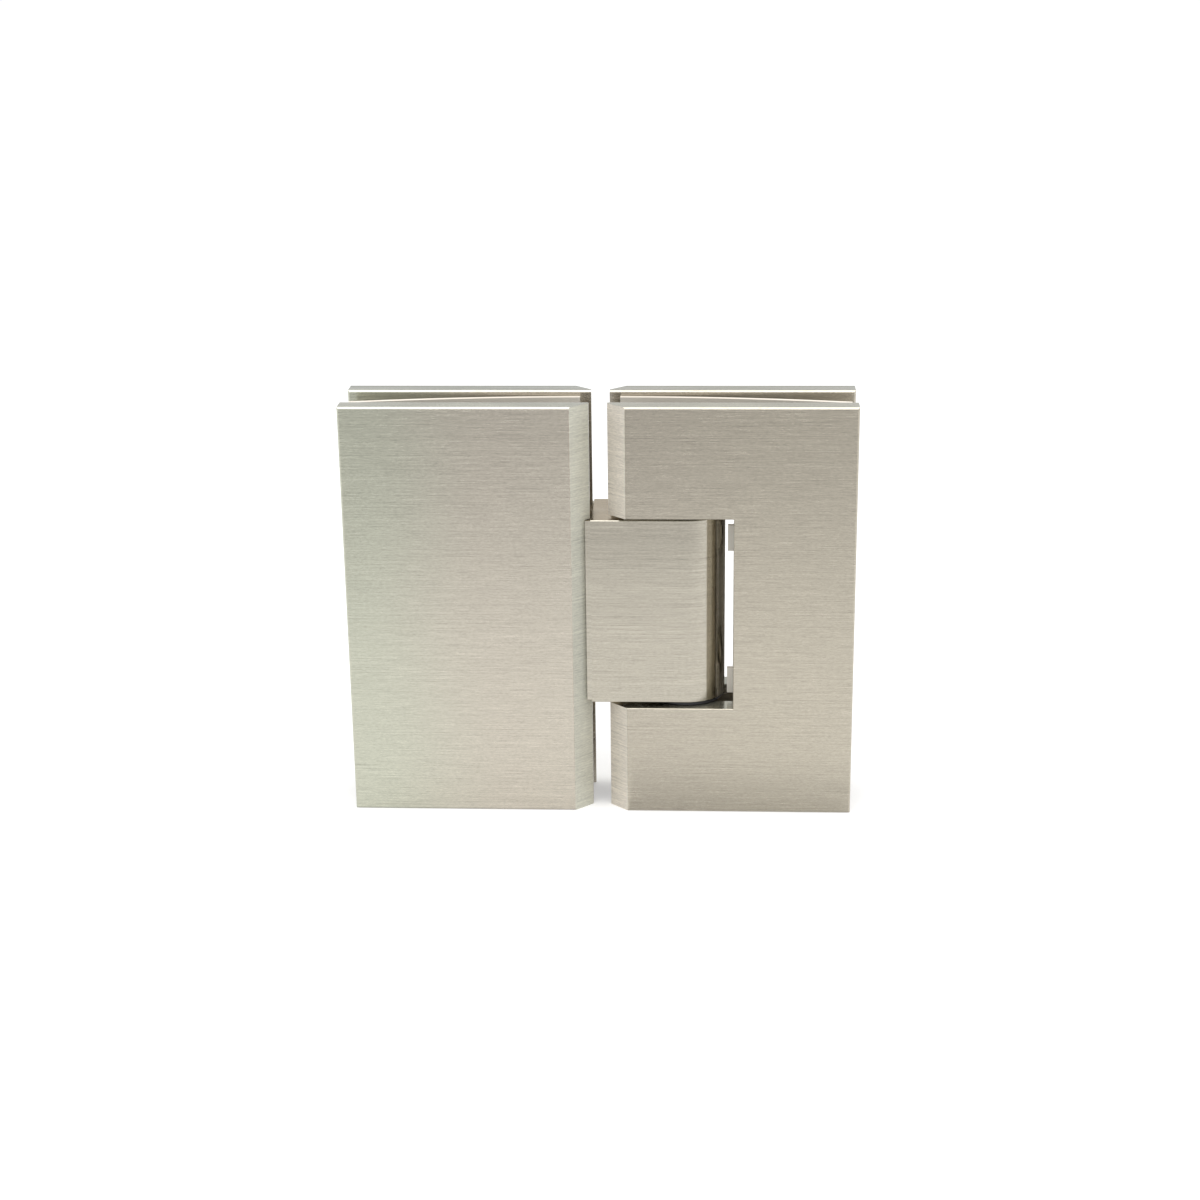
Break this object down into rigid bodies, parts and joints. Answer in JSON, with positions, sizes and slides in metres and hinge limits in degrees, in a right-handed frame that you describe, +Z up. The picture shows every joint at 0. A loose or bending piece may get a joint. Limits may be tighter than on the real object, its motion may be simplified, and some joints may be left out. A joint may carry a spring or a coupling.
{
  "type": "shower door hinge",
  "caption": "Glass-to-glass shower door hinge: bevelled clamp leaves with gaskets, joined by a round-ended knuckle on a hidden pin, swinging to a right angle either way.",
  "frame": {"origin": "under the middle of the gap between the leaves, halfway through the depth, at the plates' bottom edges", "axes": "+X from the fixed leaf to the door leaf, +Y from the front to the rear, +Z up along the pivot pin"},
  "size_m": [0.1076, 0.0198, 0.09],
  "materials": {
    "plates": "horizontal brushed nickel",
    "knuckle": "brushed nickel",
    "gaskets": "matt",
    "screws": "turned steel",
    "pin": "ground steel",
    "springs": "drawn wire",
    "bearings": "plain"
  },
  "bodies": {
    "fixed_leaf": {"left_front_plate": "plates", "left_rear_plate": "plates", "left_front_gasket": "gaskets", "left_rear_gasket": "gaskets", "knuckle": "knuckle", "left_clamp_screws": "screws", "knuckle_screws": "screws", "spring_plugs": "screws", "upper_bush": "bearings", "lower_bush": "bearings", "upper_spring": "springs", "lower_spring": "springs"},
    "door_leaf": {"right_front_plate": "plates", "right_rear_plate": "plates", "right_front_gasket": "gaskets", "right_rear_gasket": "gaskets", "pivot_pin": "pin", "pin_screws": "screws", "right_clamp_screws": "screws", "upper_thrust_washer": "bearings", "lower_thrust_washer": "bearings"},
    "upper_plunger": {"upper_plunger": "pin"},
    "lower_plunger": {"lower_plunger": "pin"}
  },
  "joints": [
    {"name": "door_swing", "type": "hinge", "parent": "fixed_leaf", "child": "door_leaf", "pos_m": [0.0183, 0, 0.045], "axis": [0, 0, 1], "range_deg": [-90, 90]},
    {"name": "upper_plunger_slide", "type": "slide", "parent": "fixed_leaf", "child": "upper_plunger", "axis": [1, 0, 0], "range_m": [0, 0.0004], "stiffness_N_per_m": 5000, "springref_m": 0.003, "deforming": ["upper_spring"]},
    {"name": "lower_plunger_slide", "type": "slide", "parent": "fixed_leaf", "child": "lower_plunger", "axis": [1, 0, 0], "range_m": [0, 0.0004], "stiffness_N_per_m": 5000, "springref_m": 0.003, "deforming": ["lower_spring"]}
  ]
}
